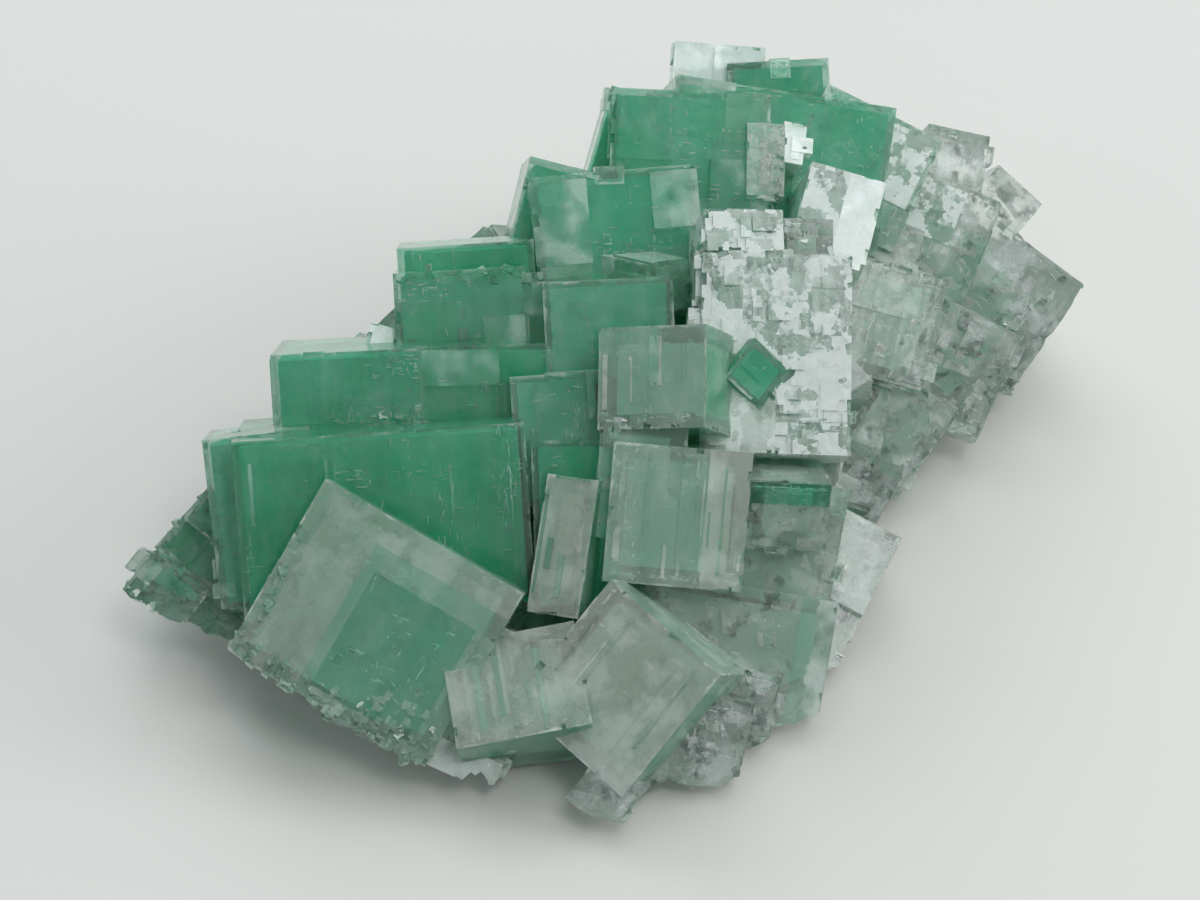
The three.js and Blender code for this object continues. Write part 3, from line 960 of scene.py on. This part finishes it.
# where glints crowd on a front crystal: x, y, the spread of each, how many
glints = {
    5: [(6, -1, 1.2, 3.4, 51), (12, 3, 0.6, 4, 39), (2, 5, 6, 0.5, 33)],
    6: [(5, -5, 4, 1.2, 45), (-9, 2, 0.6, 4, 24)],
    8: [(3, -2, 3, 0.8, 60), (5, 3, 1.4, 0.6, 33)],
    9: [(0, -3, 5, 0.6, 45), (5, 1, 0.7, 3, 33)],
    10: [(2, 0, 0.8, 4, 39)],
    12: [(-4, 2.5, 1.6, 0.6, 33), (1, -3.6, 3, 0.4, 42)],
    16: [(2, 0, 4, 0.8, 39), (6, -4, 0.8, 2, 30)],
    18: [(0, -3, 5, 1, 39)],
    19: [(8, -2, 1.4, 4, 51), (-2, -5, 4, 0.7, 30)],
    30: [(0, -4, 3, 0.4, 27)],
    33: [(-4.5, 0, 0.6, 4, 39), (0, -5.9, 4, 0.3, 66)],
    34: [(-2, 2, 0.6, 3, 33)],
    38: [(0, 1, 3, 0.4, 39), (0, 3, 3, 0.3, 75)],
    40: [(-2, 1, 4, 4, 30), (5, 2, 0.8, 4, 30)],
    42: [(-3, -2, 4, 1.5, 39)],
    44: [(0, 0, 3, 3, 75)],
    45: [(0, 0, 3, 3, 54)],
    49: [(-2, 2, 4, 4, 90)],
    50: [(0, 2, 4, 4, 105)],
    51: [(0, 0, 3, 4, 75)],
    52: [(0, 0, 4, 4, 90)],
    53: [(0, 2, 3, 4, 90)],
}


# a thin bar on every marked point, with its size and its turn by chance between the named inputs
def sliverTree():
    tree = bpy.data.node_groups.new("slivers on marked points", "GeometryNodeTree")
    wanted = {"Points": "Geometry", "Least": "Vector", "Most": "Vector", "Sway": "Vector", "Seed": "Int"}
    for name, kind in {**wanted, "Material": "Material"}.items():
        tree.interface.new_socket(name, in_out="INPUT", socket_type="NodeSocket" + kind)
    tree.interface.new_socket("Slivers", in_out="OUTPUT", socket_type="NodeSocketGeometry")
    given = add(tree, "NodeGroupInput").outputs
    vector = {"data_type": "FLOAT_VECTOR"}

    settings = {0: given["Least"], 1: given["Most"], "Seed": given["Seed"]}
    size = add(tree, "FunctionNodeRandomValue", settings, **vector)
    nextSeed = add(tree, "ShaderNodeMath", {0: given["Seed"], 1: 1}, operation="ADD")
    other = add(tree, "ShaderNodeVectorMath", {0: given["Sway"], "Scale": -1}, operation="SCALE")
    sway = add(tree, "FunctionNodeRandomValue", {0: other, 1: given["Sway"], "Seed": nextSeed}, **vector)

    # z looks out of the crystal's face and x runs along its cleavage
    up = add(tree, "GeometryNodeInputNamedAttribute", {"Name": "up"}, **vector)
    along = add(tree, "GeometryNodeInputNamedAttribute", {"Name": "along"}, **vector)
    turn = add(tree, "FunctionNodeAlignRotationToVector", {"Vector": up}, axis="Z")
    settings = {"Rotation": turn, "Vector": along}
    turn = add(tree, "FunctionNodeAlignRotationToVector", settings, axis="X", pivot_axis="Z")
    sway = add(tree, "FunctionNodeEulerToRotation", {0: sway})
    turn = add(tree, "FunctionNodeRotateRotation", {0: turn, 1: sway}, rotation_space="LOCAL")

    bar = add(tree, "GeometryNodeMeshCube", {"Size": (1, 1, 1)})
    settings = {"Points": given["Points"], "Instance": bar, "Rotation": turn, "Scale": size}
    placed = add(tree, "GeometryNodeInstanceOnPoints", settings)
    real = add(tree, "GeometryNodeRealizeInstances", {0: placed})
    settings = {"Geometry": real, "Material": given["Material"]}
    add(tree, "NodeGroupOutput", {0: add(tree, "GeometryNodeSetMaterial", settings)})
    return tree


# where the slivers lie and which way their crystal faces
def markPoints():
    marks = {"crack": [], "glint": [], "veil": []}

    def mark(kind, place, x, y, z, upright):
        at = place @ Vector((x, y, z))
        if at.z > breakHeight(at.x, at.y, cleavage["aboveBreak"]):
            turn = place.to_3x3()
            marks[kind].append((at * mm, turn.col[2].copy(), turn.col[1 if upright else 0].copy()))

    for number, (slope, place, size, habit) in enumerate(allCrystals):
        chance = random.Random(seeds["slivers"] + number)
        width, height, depth = size
        inX, inY = width / 2 - cleavage["margin"], height / 2 - cleavage["margin"]
        if depth > rootDepth or min(inX, inY) < 1:
            continue
        for k in range(round(width * height * cleavage["walksPerMm2"])):
            x, y = chance.uniform(-inX, inX), chance.uniform(-inY, inY)
            z = -chance.uniform(0.15, 0.6)
            for stride in range(chance.randint(2, 6)):
                upright = stride % 2 == 0
                reach = chance.uniform(*cleavage["stride"]) * chance.choice((-1, 1))
                newX, newY = (x, y + reach) if upright else (x + reach, y)
                newX, newY = max(-inX, min(inX, newX)), max(-inY, min(inY, newY))
                # each stretch is a row of short slivers, not one clean line
                count = max(1, int(abs(reach) / cleavage["spacing"]))
                for n in range(count):
                    share = (n + chance.random()) / count
                    if chance.random() > cleavage["missing"]:
                        sunk = z - chance.uniform(0, 0.25)
                        along = x + (newX - x) * share, y + (newY - y) * share
                        mark("crack", place, *along, sunk, upright)
                x, y = newX, newY
        groups = list(glints.get(number, []))
        few = round(width * height * cleavage["flakesPerMm2"] / 2)
        for k in range(2):
            spreads = (width * 0.1, height * 0.04) if k else (width * 0.04, height * 0.1)
            groups.append((chance.uniform(-inX, inX), chance.uniform(-inY, inY), *spreads, few))
        for gx, gy, spreadX, spreadY, count in groups:
            for k in range(count):
                x = max(-inX, min(inX, chance.gauss(gx, spreadX)))
                y = max(-inY, min(inY, chance.gauss(gy, spreadY)))
                upright = chance.random() < spreadY / (spreadX + spreadY)
                mark("glint", place, x, y, -chance.uniform(0.1, 0.5), upright)
        for k in range(round(width * height * cleavage["veilsPerMm2"].get(habit, 0))):
            x, y = chance.uniform(-inX, inX) * 0.9, chance.uniform(-inY, inY) * 0.9
            mark("veil", place, x, y, -chance.uniform(1, 2.6), chance.random() < 0.5)
    return marks


# air in cracks: thin white flakes that flash inside the clear crystal, some dulled by clay
def crackAir(name, clear):
    material, tree = newMaterial(name)
    place = add(tree, "ShaderNodeTexCoord").outputs["Object"]
    settings = {"Vector": place, "Scale": 1 / (1.5 * mm), "Detail": 3, "Roughness": 0.6}
    cloudy = add(tree, "ShaderNodeTexNoise", settings)
    share = add(tree, "ShaderNodeMapRange", {"Value": cloudy, "From Min": 0.42, "From Max": 0.62})
    settings = {"Factor": share, 6: linear("#ffffff"), 7: linear("#b9d3c6")}
    tone = add(tree, "ShaderNodeMix", settings, data_type="RGBA").outputs[2]
    dull = add(tree, "ShaderNodeMapRange", {"Value": cloudy, "To Min": 0.12, "To Max": 0.5})
    settings = {"Base Color": tone, "Roughness": dull, "Transmission Weight": clear, "IOR": 1.434}
    shader = add(tree, "ShaderNodeBsdfPrincipled", settings)
    add(tree, "ShaderNodeOutputMaterial", {"Surface": shader})
    return material


# one piece of slivers: the tree runs on its points
def scatterSlivers(name, kind, marks, tree, material):
    data = bpy.data.meshes.new(name)
    data.from_pydata([point for point, up, along in marks], [], [])
    for field, pick in (("up", 1), ("along", 2)):
        values = [number for row in marks for number in row[pick]]
        data.attributes.new(field, "FLOAT_VECTOR", "POINT").data.foreach_set("vector", values)
    obj = bpy.data.objects.new(name, data)
    scene.collection.objects.link(obj)
    sizes = cleavage[kind]
    wanted = {
        "Least": [v * mm for v in sizes["Least"]],
        "Most": [v * mm for v in sizes["Most"]],
        "Sway": [math.radians(v) for v in sizes["Sway"]],
        "Seed": sizes["Seed"],
        "Material": material,
    }
    step = obj.modifiers.new("slivers", "NODES")
    step.node_group = tree
    for socket in tree.interface.items_tree:
        if socket.in_out == "INPUT" and socket.name in wanted:
            step[socket.identifier] = wanted[socket.name]
    applied(obj)
    print(name + ":", len(obj.data.polygons), "faces")
    finish(obj, material)


marks, slivers = markPoints(), sliverTree()
air, veil = crackAir("air in cleavage cracks", 0.0), crackAir("healed cleavage veils", 0.45)
scatterSlivers("cleavage_traces", "crack", marks["crack"], slivers, air)
scatterSlivers("crack_glints", "glint", marks["glint"], slivers, air)
scatterSlivers("cleavage_veils", "veil", marks["veil"], slivers, veil)

# light is followed deep enough to come out of the clear crystals again
scene.cycles.transmission_bounces = 24
scene.cycles.transparent_max_bounces = 16
scene.cycles.max_bounces = 24
scene.cycles.volume_bounces = 2
